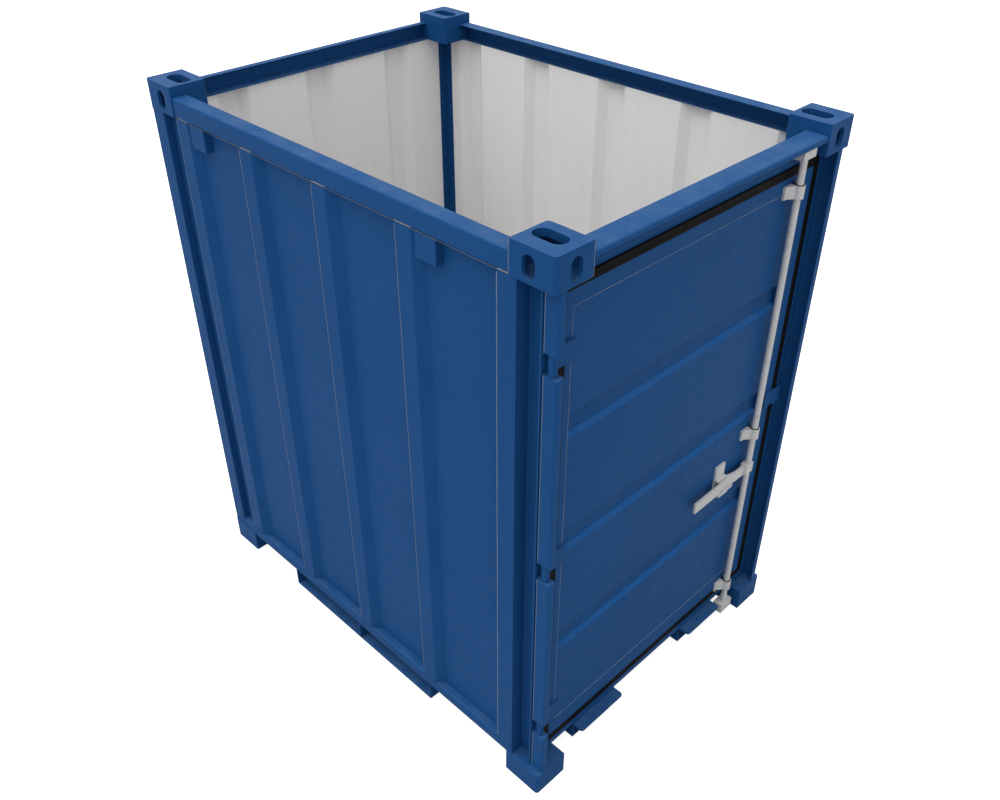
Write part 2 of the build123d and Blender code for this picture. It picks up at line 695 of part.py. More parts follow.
def door_panel():
    """The pressed sheet between the leaf's members, with its three grooves."""
    face = DOOR_FACE + SHEET / 2
    back = face + GROOVE_DEPTH
    path = [(face, PANEL_TOP)]
    for level in GROOVE_LEVELS:
        top = level + GROOVE_HEIGHT / 2
        bottom = level - GROOVE_HEIGHT / 2
        path += [(face, top), (back, top - GROOVE_DEPTH), (back, bottom + GROOVE_DEPTH), (face, bottom)]
    path.append((face, PANEL_BOTTOM))
    return across(folded(path, SHEET, SHEET_BEND), PANEL_LEFT, PANEL_RIGHT)


def gasket():
    """The rubber ring between the leaf and its opening."""
    depths = (GASKET_FRONT, GASKET_FRONT + GASKET_DEPTH)
    outer_side = OPENING_SIDE + GASKET_GAP
    levels = (OPENING_BOTTOM + GASKET_GAP, OPENING_TOP - GASKET_GAP)
    ring = block(depths, (outer_side, WIDTH - outer_side), levels)
    return ring - block(depths, (LEAF_LEFT, LEAF_RIGHT), (LEAF_BOTTOM, LEAF_TOP))


def brackets():
    """Three saddles that hold the lock rod on the door."""
    centre = Pos(*at(ROD_DEPTH, ROD_SIDE))
    outer = ROD_RADIUS + ROD_CLEARANCE + BRACKET_WALL
    inner = ROD_RADIUS + ROD_CLEARANCE
    left = ROD_SIDE - BRACKET_LEFT
    front = DOOR_FACE - BRACKET_FOOT_THICKNESS
    shell = centre * Circle(outer) + filled(plan([
        (ROD_DEPTH, ROD_SIDE - outer), (DOOR_FACE, ROD_SIDE - outer),
        (DOOR_FACE, ROD_SIDE + outer), (ROD_DEPTH, ROD_SIDE + outer),
    ]))
    shell += filled(plan([
        (DOOR_FACE, left), (front, left), (front, left + BRACKET_FOOT),
        (ROD_DEPTH, ROD_SIDE - outer), (DOOR_FACE, ROD_SIDE - outer),
    ]))
    shell += filled(plan([
        (DOOR_FACE, ROD_SIDE + outer), (front, ROD_SIDE + outer),
        (front, ROD_SIDE + BRACKET_RIGHT), (DOOR_FACE, ROD_SIDE + BRACKET_RIGHT),
    ]))
    shell -= centre * Circle(inner)
    shell -= filled(plan([
        (ROD_DEPTH, ROD_SIDE - inner), (DOOR_FACE, ROD_SIDE - inner),
        (DOOR_FACE, ROD_SIDE + inner), (ROD_DEPTH, ROD_SIDE + inner),
    ]))
    half = BRACKET_HEIGHT / 2
    return Compound([upright(shell, level - half, level + half) for level in BRACKET_LEVELS])


def lock_rod():
    """The round rod between the two cams."""
    rod = Pos(*at(ROD_DEPTH, ROD_SIDE)) * Circle(ROD_RADIUS)
    return upright(rod, LOWER_CAM_TOP, UPPER_CAM_BOTTOM)


def cam(low, high):
    """A block cam on the end of the lock rod."""
    middle = ROD_DEPTH + CAM_OFFSET
    depths = (middle - CAM_DEPTH / 2, middle + CAM_DEPTH / 2)
    return block(depths, (ROD_SIDE - CAM_WIDTH / 2, ROD_SIDE + CAM_WIDTH / 2), (low, high))


def lock_hub():
    """The block on the rod that carries the lever."""
    low = HANDLE_LEVEL - HANDLE_HEIGHT / 2
    hub = block(
        (ROD_DEPTH - HUB_HALF_DEPTH, ROD_DEPTH + HUB_HALF_DEPTH),
        (ROD_SIDE - HUB_LEFT, ROD_SIDE + HUB_RIGHT),
        (low, low + HANDLE_HEIGHT),
    )
    hole = Pos(*at(ROD_DEPTH, ROD_SIDE)) * Circle(ROD_RADIUS + ROD_CLEARANCE)
    return hub - upright(hole, low, low + HANDLE_HEIGHT)


def lock_lever():
    """The flat lever, bowed back towards the catch."""
    start = (ROD_DEPTH, ROD_SIDE - HUB_LEFT)
    bends = [(depth, ROD_SIDE - reach) for depth, reach in LEVER_ROUTE]
    end = (LEVER_END[0], ROD_SIDE - LEVER_END[1])
    section = folded(plan([start, *bends, end]), LEVER_THICKNESS, LEVER_BEND)
    return upright(section, HANDLE_LEVEL - HANDLE_HEIGHT / 2, HANDLE_LEVEL + HANDLE_HEIGHT / 2)


def handle_catch():
    """The catch on the door that the lever lies in, open to the front."""
    back = DOOR_FACE
    front = DOOR_FACE - CATCH_PLATE
    right = CATCH_SIDE + CATCH_WIDTH
    low = HANDLE_LEVEL - HANDLE_HEIGHT / 2 - CATCH_GAP
    high = HANDLE_LEVEL + HANDLE_HEIGHT / 2 + CATCH_GAP
    catch = block((front, back), (CATCH_SIDE, right), (CATCH_BOTTOM, CATCH_TOP))
    catch += block((front - CATCH_SHELF_REACH, front), (CATCH_SIDE, right), (low - CATCH_SHELF, low))
    catch += block((front - CATCH_SHELF_REACH / 2, front), (CATCH_SIDE, right), (high, high + CATCH_SHELF))
    hasp = (HASP_LEVEL - HASP_HEIGHT / 2, HASP_LEVEL + HASP_HEIGHT / 2)
    return catch + block((front, back), (right - CATCH_PLATE, right + HASP_LENGTH), hasp)


def stop_plate():
    """The joggled plate on the door's free edge that overlaps the lock post."""
    on_door = DOOR_FACE - STOP_PLATE / 2
    path = [
        (on_door, STOP_SIDE), (on_door, STOP_JOGGLE_SIDE),
        (on_door - STOP_JOGGLE, STOP_JOGGLE_SIDE + STOP_JOGGLE),
        (on_door - STOP_JOGGLE, STOP_END_SIDE),
    ]
    section = folded(plan(path), STOP_PLATE, SHEET)
    return upright(section, STOP_LEVEL - STOP_HEIGHT / 2, STOP_LEVEL + STOP_HEIGHT / 2)


parts = {
    **corner_castings(),
    "hinge_post": hinge_post(),
    "hinge_post_tubes": hinge_tubes(),
    "hinge_pins": hinge_pins(),
    "lock_post": lock_post(),
    "rear_post_left": rear_post(),
    "rear_post_right": mirrored(rear_post()),
    "left_top_rail": top_side_rail(),
    "right_top_rail": mirrored(top_side_rail()),
    "rear_top_rail": top_rear_rail(),
    "header": header(),
    "left_base_rail": base_side_rail(),
    "right_base_rail": mirrored(base_side_rail()),
    "front_sill": front_sill(),
    "rear_sill": rear_sill(),
    "left_wall": side_wall(),
    "right_wall": mirrored(side_wall()),
    "rear_wall": rear_wall(),
    "left_vent_covers": vent_covers(),
    "right_vent_covers": mirrored(vent_covers()),
    "floor_board": floor_board(),
    "cross_members": cross_members(),
    "fork_pocket_plate": pocket_plate(),
    "front_pocket_web": pocket_web(POCKET_WEB_DEPTHS[0], True),
    "middle_pocket_web": pocket_web(POCKET_WEB_DEPTHS[1], False),
    "rear_pocket_web": pocket_web(POCKET_WEB_DEPTHS[2], True),
    **end_pockets(),
    **leaf_members(),
    "door_panel": door_panel(),
    "door_gasket": gasket(),
    "door_stop_plate": stop_plate(),
    "lock_brackets": brackets(),
    "handle_catch": handle_catch(),
    "lock_rod": lock_rod(),
    "lower_cam": cam(LOWER_CAM_TOP - LOWER_CAM_HEIGHT, LOWER_CAM_TOP),
    "upper_cam": cam(UPPER_CAM_BOTTOM, UPPER_CAM_BOTTOM + UPPER_CAM_HEIGHT),
    "lock_hub": lock_hub(),
    "lock_lever": lock_lever(),
}
for position, hinge_level in zip(("lower", "middle", "upper"), HINGE_LEVELS):
    parts[f"{position}_hinge_blade"] = hinge_blade(hinge_level)

for name, shape in parts.items():
    export_step(shape, f"parts/{name}.step")
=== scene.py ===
"""Looks of the five-foot storage container: its finishes, seams, seals and small parts.

Everything is in metres in the container's own frame: +X is the door end, +Y the lock side and +Z up.
"""

import math
import random

import bmesh
import bpy
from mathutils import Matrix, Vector


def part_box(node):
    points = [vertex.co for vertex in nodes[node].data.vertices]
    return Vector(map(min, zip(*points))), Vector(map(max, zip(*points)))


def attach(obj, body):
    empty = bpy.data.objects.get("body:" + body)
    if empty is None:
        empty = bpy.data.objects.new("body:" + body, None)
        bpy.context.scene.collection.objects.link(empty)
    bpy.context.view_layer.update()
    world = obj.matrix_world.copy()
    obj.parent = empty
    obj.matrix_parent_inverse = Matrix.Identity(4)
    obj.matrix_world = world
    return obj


# Colours, linear
WHITE = (1.0, 1.0, 1.0, 1.0)
CLEAR_BLUE = (0.011, 0.072, 0.224, 1.0)
DEEP_BLUE = (0.010, 0.068, 0.214, 1.0)
WORN_BLUE = (0.022, 0.098, 0.252, 1.0)
# Painted highlight and painted shade for the upper and lower slopes of the door panel's ribs
RIB_PAINTED_HIGHLIGHT = (0.010, 0.100, 0.330, 1.0)
RIB_PAINTED_SHADE = (0.007, 0.042, 0.130, 1.0)
# Pale blue of dust on upward faces, which also paints a sheen on the tops
DUST_AND_PAINTED_SHEEN = (0.080, 0.145, 0.245, 1.0)
INNER_GREY = (0.890, 0.890, 0.890, 1.0)
INNER_SHADE = (0.865, 0.865, 0.865, 1.0)
SCUFF_GREY = (0.500, 0.490, 0.480, 1.0)
ZINC_LIGHT = (0.610, 0.610, 0.610, 1.0)
ZINC_DARK = (0.520, 0.520, 0.525, 1.0)
RUBBER = (0.004, 0.004, 0.004, 1.0)
RUBBER_DUST = (0.012, 0.012, 0.011, 1.0)
# Tones of the pale lines that paint highlights along edges
PAINTED_HIGHLIGHT_PALE = (0.260, 0.290, 0.330, 1.0)
PAINTED_HIGHLIGHT_DIM = (0.180, 0.210, 0.260, 1.0)
# Tones of the dull pale line along the lower edge of the left top rail
DULL_LINE_TONE = (0.130, 0.140, 0.160, 1.0)
DULL_LINE_DARK_TONE = (0.080, 0.095, 0.125, 1.0)
PLY_LIGHT = (0.330, 0.190, 0.095, 1.0)
PLY_DARK = (0.190, 0.095, 0.045, 1.0)
STEEL_GREY = (0.300, 0.300, 0.310, 1.0)
STEEL_DARK = (0.200, 0.200, 0.210, 1.0)

# Noise: scale (features are about 1 / scale metres across), detail, and where the noise is drawn out,
# a factor for each axis, smaller for longer features
CLOUD_NOISE = (1.6, 4.0)
STREAK_NOISE = (9.0, 4.0, (3.0, 3.0, 0.25))
SCUFF_NOISE = (30.0, 6.0, (1.0, 1.0, 0.4))
DUST_AND_SHEEN_NOISE = (14.0, 5.0)
WEAR_NOISE = (60.0, 5.0)
PEEL_NOISE = (420.0, 2.0)
DENT_NOISE = (3.2, 1.0)
PAINT_SHEEN_NOISE = (22.0, 5.0)
STAIN_NOISE = (26.0, 6.0)
ZINC_GRAIN_NOISE = (260.0, 3.0)
ZINC_SHEEN_NOISE = (70.0, 4.0)
SEAL_DUST_NOISE = (40.0, 6.0)
SEAL_GRAIN_NOISE = (300.0, 3.0)
LINE_CLOUD_NOISE = (35.0, 5.0)
LINE_GRAIN_NOISE = (240.0, 3.0)
LINE_SHEEN_NOISE = (50.0, 3.0)
PLY_GRAIN_NOISE = (26.0, 6.0, (0.12, 1.6, 1.0))
PLY_MARK_NOISE = (9.0, 6.0)
PLY_FIBRE_NOISE = (120.0, 4.0, (0.1, 1.0, 1.0))
STEEL_CLOUD_NOISE = (90.0, 5.0)
STEEL_GRAIN_NOISE = (500.0, 2.0)
STEEL_SHEEN_NOISE = (150.0, 3.0)
SPANGLE_SCALE = 140.0

# Ranges: the two ends of a value, then what they become where that isn't 0 and 1
SOFT_RANGE = (0.35, 0.65)
STREAK_RANGE = (0.55, 0.85, 0.0, 0.12)
# Slopes facing up and down that take the painted highlight and the painted shade on ribs
PAINTED_HIGHLIGHT_SLOPE_RANGE = (0.3, 0.6, 0.0, 0.75)
PAINTED_SHADE_SLOPE_RANGE = (-0.3, -0.6, 0.0, 0.6)
INNER_SIDE_RANGE = (-0.01, 0.01)
INNER_STREAK_RANGE = (0.35, 0.7)
SCUFF_RANGE = (0.66, 0.72, 0.0, 0.1)
# Upward faces, and the patches on them that take dust and a painted sheen
LYING_RANGE = (0.5, 0.95)
DUST_AND_SHEEN_RANGE = (0.3, 0.75, 0.05, 0.4)
EDGE_RANGE = (0.995, 0.85)
WEAR_RANGE = (0.35, 0.6, 0.1, 0.55)
STAIN_RANGE = (0.55, 0.8, 0.0, 0.35)
SEAL_DUST_RANGE = (0.5, 0.8, 0.0, 0.5)
PLY_MARK_RANGE = (0.6, 0.75, 0.0, 0.5)
STEEL_RANGE = (0.4, 0.7)

# Roughness, as ranges of the noise or dust that it follows
PAINT_ROUGHNESS = (0.3, 0.7, 0.34, 0.5)
ZINC_ROUGHNESS = (0.3, 0.7, 0.42, 0.6)
SEAL_ROUGHNESS = (0.0, 0.5, 0.5, 0.75)
LINE_ROUGHNESS = (0.3, 0.7, 0.5, 0.7)
PLY_ROUGHNESS = (0.3, 0.7, 0.4, 0.6)
STEEL_ROUGHNESS = (0.3, 0.7, 0.3, 0.5)

# Strength of the reflection from the satin paint and from the seal, and share of bare metal
PAINT_GLOSS = 0.04
SEAL_GLOSS = 0.05
ZINC_METAL = 0.15
STEEL_METAL = 0.8

# Height of the fine relief in each finish
PEEL_RELIEF = 0.00012
DENT_RELIEF = 0.004
DENT_STRENGTH = 0.25
ZINC_RELIEF = 0.0002
SEAL_RELIEF = 0.0002
LINE_RELIEF = 0.0003
PLY_RELIEF = 0.0004
STEEL_RELIEF = 0.0001

# Radius that edges are shaded round to
PAINT_EDGE = 0.0035
SMALL_EDGE = 0.002
STEEL_EDGE = 0.001
EDGE_SAMPLES = 4

# The photograph's camera: its turn in degrees and its lens in millimetres
CAMERA_PLACE = (2.6686, -2.5755, 3.6448)
CAMERA_TURN = (54.777, 0.029, 45.063)
CAMERA_LENS = 35.478

# Studio floor and light: the sun's spread is in degrees
FLOOR_GREY = (0.500, 0.500, 0.500, 1.0)
FLOOR_ROUGHNESS = 0.9
FLOOR_LIFT = 0.85
FLOOR_REACH = 400.0
SKY_LIGHT = 0.68
SUN_LIGHT = 2.45
SUN_SPREAD = 70.0
SUN_TOWARDS = (-0.12, -0.24, 1.0)

# Weld beads, and how far those of the hinge blades run along the door leaf
WELD_RADIUS = 0.0028
SHEET_WELD_RADIUS = 0.0017
WELD_STEP = 0.005
WELD_SIDES = 6
WELD_RIPPLE = 0.22
BLADE_LAP = 0.038

# Pale lines, painted highlights on edges and one dull line, how far short of a wall's or a casting's
# ends they stop, and how far from the hinge tube's rear the line on it lies
FIRST_LINE_RADIUS = 0.0015
LINE_RADIUS = 0.0009
LINE_STEP = 0.02
LINE_RIPPLE = 0.05
WALL_LINE_END = 0.01
CASTING_LINE_END = 0.002
TUBE_CORNER = 0.008

# Corrugated walls: the axis that each one's outer side faces (0 for X, 1 for Y) and its sign, how far
# the troughs lie behind the crests, and the least distance from one crest to the next
LEFT_WALL = ("left_wall", 1, -1.0)
WALLS = (LEFT_WALL, ("right_wall", 1, 1.0), ("rear_wall", 0, -1.0))
CREST_DEPTH = 0.032
CREST_REACH = 0.1
CORNER_TOLERANCE = 0.0005
CORNER_DECIMALS = 4

# The seal's lips: how far they reach inwards and outwards from the edge of the seal's ring
LIP_INWARD = 0.032
TOP_LIP_INWARD = 0.021
LIP_OUTWARD = 0.003
TOP_LIP_OUTWARD = 0.014

# Section of the lips: share of the way outwards, and height over the door leaf's face
LIP_ROOT = -0.0054
LIP_EDGE = 0.0003
LIP_CREST = 0.0015
LIP_DIP = 0.0006
LIP_SECTION = (
    (0.0, LIP_ROOT), (0.0, LIP_EDGE), (0.06, LIP_CREST), (0.42, LIP_CREST), (0.5, LIP_DIP),
    (0.58, LIP_CREST), (0.94, LIP_CREST), (1.0, LIP_EDGE), (1.0, LIP_ROOT),
)

# Dark rings of painted shade round the lock rod, washers and screws: the turned edge is a share of
# their height
ROUND_SIDES = 24
TURNED_EDGE = 0.3
MERGE_REACH = 1e-6
SHADE_RING_WIDTH = 0.0045
SHADE_RING_HEIGHT = 0.0015
BRACKET_SPACING = 0.3
WASHER_BORE_RADIUS = 0.0071
WASHER_RADIUS = 0.0125
WASHER_HEIGHT = 0.0016
WASHER_PLAY = 0.0002
SCREW_RADIUS = 0.006
SCREW_HEIGHT = 0.0012
SCREW_SUNK = SCREW_HEIGHT / 3
SCREW_STRAY = 0.002
FLOOR_ROWS = 9
FLOOR_COLUMNS = 5

# Hinges, with the gap beside each blade and the pins' place in plan, and the galvanised pieces
HINGE_BLADES = ("lower_hinge_blade", "middle_hinge_blade", "upper_hinge_blade")
HINGE_PLAY = 0.002
PIN_PLACE = (1.065, -0.755)
ZINC_PIECES = (
    "lock_rod", "lower_cam", "upper_cam", "lock_hub", "lock_lever", "lock_brackets", "handle_catch",
)

UP = Vector((0.0, 0.0, 1.0))
SEED = 5

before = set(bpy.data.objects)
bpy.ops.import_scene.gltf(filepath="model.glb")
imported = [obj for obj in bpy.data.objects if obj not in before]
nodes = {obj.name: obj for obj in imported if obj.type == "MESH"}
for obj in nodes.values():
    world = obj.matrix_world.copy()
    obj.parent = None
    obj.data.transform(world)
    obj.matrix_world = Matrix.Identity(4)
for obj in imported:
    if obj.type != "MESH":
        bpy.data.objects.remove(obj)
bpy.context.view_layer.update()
rng = random.Random(SEED)


class Finish:
    """A procedural material, put together in steps from the object's own coordinates."""

    def __init__(self, name):
        self.material = bpy.data.materials.new(name)
        self.material.use_nodes = True
        tree = self.material.node_tree
        self.nodes = tree.nodes
        self.links = tree.links
        self.shader = self.nodes["Principled BSDF"]
        coordinates = self.nodes.new("ShaderNodeTexCoord")
        self.place = coordinates.outputs["Object"]
        split = self.nodes.new("ShaderNodeSeparateXYZ")
        self.links.new(coordinates.outputs["Normal"], split.inputs["Vector"])
        self.facing = split.outputs
        self.normal = None

    def feed(self, socket, value):
        """Links a value that varies, or sets one that doesn't."""
        if isinstance(value, bpy.types.NodeSocket):
            self.links.new(value, socket)
        else:
            socket.default_value = value

    def noise(self, scale, detail, stretch=(1.0, 1.0, 1.0)):
        """Cloudy noise from 0 to 1."""
        mapping = self.nodes.new("ShaderNodeMapping")
        mapping.inputs["Scale"].default_value = stretch
        self.links.new(self.place, mapping.inputs["Vector"])
        texture = self.nodes.new("ShaderNodeTexNoise")
        texture.inputs["Scale"].default_value = scale
        texture.inputs["Detail"].default_value = detail
        self.links.new(mapping.outputs["Vector"], texture.inputs["Vector"])
        return texture.outputs["Fac"]

    def cells(self, scale):
        """Random values of crystal-like cells."""
        texture = self.nodes.new("ShaderNodeTexVoronoi")
        texture.inputs["Scale"].default_value = scale
        self.links.new(self.place, texture.inputs["Vector"])
        return texture.outputs["Color"]

    def spread(self, value, low, high, new_low=0.0, new_high=1.0):
        """A range of a value stretched to a new range and held there."""
        node = self.nodes.new("ShaderNodeMapRange")
        self.feed(node.inputs["Value"], value)
        limits = {"From Min": low, "From Max": high, "To Min": new_low, "To Max": new_high}
        for name, number in limits.items():
            node.inputs[name].default_value = number
        return node.outputs["Result"]

    def patches(self, noise, limits):
        """Noise, stretched to a range."""
        return self.spread(self.noise(*noise), *limits)

    def times(self, first, second):
        """The product of two values."""
        node = self.nodes.new("ShaderNodeMath")
        node.operation = "MULTIPLY"
        self.feed(node.inputs[0], first)
        self.feed(node.inputs[1], second)
        return node.outputs["Value"]

    def mix(self, share, first, second):
        """One colour shading into another."""
        node = self.nodes.new("ShaderNodeMix")
        node.data_type = "RGBA"
        self.feed(node.inputs["Factor"], share)
        self.feed(node.inputs["A"], first)
        self.feed(node.inputs["B"], second)
        return node.outputs["Result"]

    def rounded(self, radius):
        """Normals that round the edges off, and a mask of where they do."""
        bevel = self.nodes.new("ShaderNodeBevel")
        bevel.samples = EDGE_SAMPLES
        bevel.inputs["Radius"].default_value = radius
        geometry = self.nodes.new("ShaderNodeNewGeometry")
        product = self.nodes.new("ShaderNodeVectorMath")
        product.operation = "DOT_PRODUCT"
        self.links.new(bevel.outputs["Normal"], product.inputs[0])
        self.links.new(geometry.outputs["Normal"], product.inputs[1])
        self.normal = bevel.outputs["Normal"]
        return self.spread(product.outputs["Value"], *EDGE_RANGE)

    def bumped(self, noise, distance, strength=1.0):
        """Adds relief of a given height to the normals."""
        height = self.noise(*noise)
        node = self.nodes.new("ShaderNodeBump")
        node.inputs["Strength"].default_value = strength
        node.inputs["Distance"].default_value = distance
        self.links.new(height, node.inputs["Height"])
        if self.normal is not None:
            self.links.new(self.normal, node.inputs["Normal"])
        self.normal = node.outputs["Normal"]

    def done(self, colour, roughness, metallic=0.0, gloss=None):
        """Sets the shader and returns the material."""
        self.feed(self.shader.inputs["Base Color"], colour)
        self.feed(self.shader.inputs["Roughness"], roughness)
        self.shader.inputs["Metallic"].default_value = metallic
        if gloss is not None:
            self.shader.inputs["Specular IOR Level"].default_value = gloss
        if self.normal is not None:
            self.links.new(self.normal, self.shader.inputs["Normal"])
        return self.material


def painted_rib_light(finish, colour):
    """Painted highlight on the upper slopes of pressed ribs and painted shade on the lower ones, as
    lighter and darker paint.
    """
    highlight_share = finish.spread(finish.facing["Z"], *PAINTED_HIGHLIGHT_SLOPE_RANGE)
    colour = finish.mix(highlight_share, colour, RIB_PAINTED_HIGHLIGHT)
    shade_share = finish.spread(finish.facing["Z"], *PAINTED_SHADE_SLOPE_RANGE)
    return finish.mix(shade_share, colour, RIB_PAINTED_SHADE)


def inner_grey(finish, colour, streaks, axis, sign):
    """Light grey, streaked and scuffed, on the side that faces a given way."""
    inner = finish.spread(finish.times(finish.facing[axis], sign), *INNER_SIDE_RANGE)
    grey = finish.mix(finish.spread(streaks, *INNER_STREAK_RANGE), INNER_GREY, INNER_SHADE)
    grey = finish.mix(finish.patches(SCUFF_NOISE, SCUFF_RANGE), grey, SCUFF_GREY)
    return finish.mix(inner, colour, grey)


def paint(name, inner_side=None, with_painted_rib_light=False):
    """Satin blue container paint, light grey on an inner side named by axis and sign, painted rib light
    and top sheen.
    """
    finish = Finish(name)
    colour = finish.mix(finish.patches(CLOUD_NOISE, SOFT_RANGE), DEEP_BLUE, CLEAR_BLUE)
    streaks = finish.noise(*STREAK_NOISE)
    colour = finish.mix(finish.spread(streaks, *STREAK_RANGE), colour, WORN_BLUE)
    # Painted highlight on rib slopes that face up, painted shade on those that face down
    if with_painted_rib_light:
        colour = painted_rib_light(finish, colour)
    if inner_side:
        colour = inner_grey(finish, colour, streaks, *inner_side)
    # Dust and a painted sheen on upward faces: pale patches that lighten the tops
    lying = finish.spread(finish.facing["Z"], *LYING_RANGE)
    dust = finish.times(lying, finish.patches(DUST_AND_SHEEN_NOISE, DUST_AND_SHEEN_RANGE))
    colour = finish.mix(dust, colour, DUST_AND_PAINTED_SHEEN)
    edges = finish.rounded(PAINT_EDGE)
    wear = finish.times(edges, finish.patches(WEAR_NOISE, WEAR_RANGE))
    colour = finish.mix(wear, colour, WORN_BLUE)
    finish.bumped(PEEL_NOISE, PEEL_RELIEF)
    finish.bumped(DENT_NOISE, DENT_RELIEF, DENT_STRENGTH)
    return finish.done(colour, finish.patches(PAINT_SHEEN_NOISE, PAINT_ROUGHNESS), gloss=PAINT_GLOSS)


def zinc(name):
    """Dull galvanised steel with a fine spangle."""
    finish = Finish(name)
    colour = finish.mix(finish.cells(SPANGLE_SCALE), ZINC_DARK, ZINC_LIGHT)
    colour = finish.mix(finish.patches(STAIN_NOISE, STAIN_RANGE), colour, STEEL_GREY)
    finish.rounded(SMALL_EDGE)
    finish.bumped(ZINC_GRAIN_NOISE, ZINC_RELIEF)
    return finish.done(colour, finish.patches(ZINC_SHEEN_NOISE, ZINC_ROUGHNESS), ZINC_METAL)


def rubber(name):
    """Black door seal, chalky where dust sits."""
    finish = Finish(name)
    dust = finish.patches(SEAL_DUST_NOISE, SEAL_DUST_RANGE)
    colour = finish.mix(dust, RUBBER, RUBBER_DUST)
    finish.rounded(SMALL_EDGE)
    finish.bumped(SEAL_GRAIN_NOISE, SEAL_RELIEF)
    return finish.done(colour, finish.spread(dust, *SEAL_ROUGHNESS), gloss=SEAL_GLOSS)


def pale_line_finish(name, light, shade):
    """Finish of a pale line, clouded between two tones: painted highlights on edges, and the dull line
    on the top rail.
    """
    finish = Finish(name)
    colour = finish.mix(finish.patches(LINE_CLOUD_NOISE, SOFT_RANGE), shade, light)
    finish.bumped(LINE_GRAIN_NOISE, LINE_RELIEF)
    return finish.done(colour, finish.patches(LINE_SHEEN_NOISE, LINE_ROUGHNESS))


def plywood(name):
    """Varnished floor ply with its grain along the container."""
    finish = Finish(name)
    grain = finish.noise(*PLY_GRAIN_NOISE)
    colour = finish.mix(finish.spread(grain, *SOFT_RANGE), PLY_DARK, PLY_LIGHT)
    colour = finish.mix(finish.patches(PLY_MARK_NOISE, PLY_MARK_RANGE), colour, SCUFF_GREY)
    finish.rounded(SMALL_EDGE)
    finish.bumped(PLY_FIBRE_NOISE, PLY_RELIEF)
    return finish.done(colour, finish.spread(grain, *PLY_ROUGHNESS))


def steel(name):
    """Bare steel of pins, washers and screws."""
    finish = Finish(name)
    colour = finish.mix(finish.patches(STEEL_CLOUD_NOISE, STEEL_RANGE), STEEL_DARK, STEEL_GREY)
    finish.rounded(STEEL_EDGE)
    finish.bumped(STEEL_GRAIN_NOISE, STEEL_RELIEF)
    return finish.done(colour, finish.patches(STEEL_SHEEN_NOISE, STEEL_ROUGHNESS), STEEL_METAL)


def coat(node, material):
    """Gives a node of the frame its finish."""
    slots = nodes[node].data.materials
    slots.clear()
    slots.append(material)


def new_mesh(name, shape):
    """A mesh made from a shape, which is then freed."""
    mesh = bpy.data.meshes.new(name)
    shape.to_mesh(mesh)
    shape.free()
    return mesh


def new_object(name, data):
    """An object linked into the scene."""
    item = bpy.data.objects.new(name, data)
    bpy.context.scene.collection.objects.link(item)
    return item


def new_piece(name, shape, material, body, smooth=False):
    """A closed shape as a piece that rides on a body."""
    bmesh.ops.recalc_face_normals(shape, faces=shape.faces)
    mesh = new_mesh(name, shape)
    if smooth:
        mesh.polygons.foreach_set("use_smooth", [True] * len(mesh.polygons))
    mesh.materials.append(material)
    piece = new_object(name, mesh)
    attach(piece, body)


def spokes(axis, count):
    """Unit vectors evenly spread round an axis."""
    across = axis.orthogonal().normalized()
    other = axis.cross(across)
    turns = [math.tau * index / count for index in range(count)]
    return [across * math.cos(turn) + other * math.sin(turn) for turn in turns]


def close_loop(shape, sections):
    """Faces from each closed section to the next, and from the last to the first."""
    for one, two in zip(sections, sections[1:] + sections[:1]):
        for step in range(len(one)):
            following = (step + 1) % len(one)
            shape.faces.new((one[step], two[step], two[following], one[following]))


def stepped(points, step):
    """The points of a run of straight lines, cut into steps of about one length."""
    corners = [Vector(point) for point in points]
    walked = corners[:1]
    for start, end in zip(corners, corners[1:]):
        count = max(1, round((end - start).length / step))
        walked += [start.lerp(end, (index + 1) / count) for index in range(count)]
    return walked


def add_bead(shape, points, radius, step, ripple):
    """A bead along straight lines, closed at its ends, with the ripples of a weld where asked."""
    line = stepped(points, step)
    loops = []
    for index, centre in enumerate(line):
        ahead = line[min(index + 1, len(line) - 1)] - line[max(index - 1, 0)]
        ahead.normalize()
        size = radius * (1 - ripple * (index % 2) + ripple * (rng.random() - 0.5))
        loops.append([shape.verts.new(centre + spoke * size) for spoke in spokes(ahead, WELD_SIDES)])
    for one, two in zip(loops, loops[1:]):
        for side in range(WELD_SIDES):
            following = (side + 1) % WELD_SIDES
            shape.faces.new((one[side], one[following], two[following], two[side]))
    shape.faces.new(loops[0][::-1])
    shape.faces.new(loops[-1])


def beads(name, runs, material, body, radius=WELD_RADIUS, step=WELD_STEP, ripple=WELD_RIPPLE):
    """One piece made of several beads."""
    shape = bmesh.new()
    for points in runs:
        add_bead(shape, points, radius, step, ripple)
    new_piece(name, shape, material, body, smooth=True)


def lines(name, runs, material, body, radius):
    """One piece made of several even pale lines, as drawn for painted highlights on edges."""
    beads(name, runs, material, body, radius, LINE_STEP, LINE_RIPPLE)


def rings(name, places, inner, outer, thickness, material, body):
    """Flat rings, or discs where the inner radius is nothing, with a turned upper edge."""
    edge = thickness * TURNED_EDGE
    profile = (
        (inner, 0.0), (outer, 0.0), (outer, thickness - edge),
        (outer - edge, thickness), (inner, thickness),
    )
    shape = bmesh.new()
    for place in places:
        sections = [
            [shape.verts.new(Vector(place) + spoke * reach + UP * level) for reach, level in profile]
            for spoke in spokes(UP, ROUND_SIDES)
        ]
        close_loop(shape, sections)
    bmesh.ops.remove_doubles(shape, verts=shape.verts, dist=MERGE_REACH)
    new_piece(name, shape, material, body)


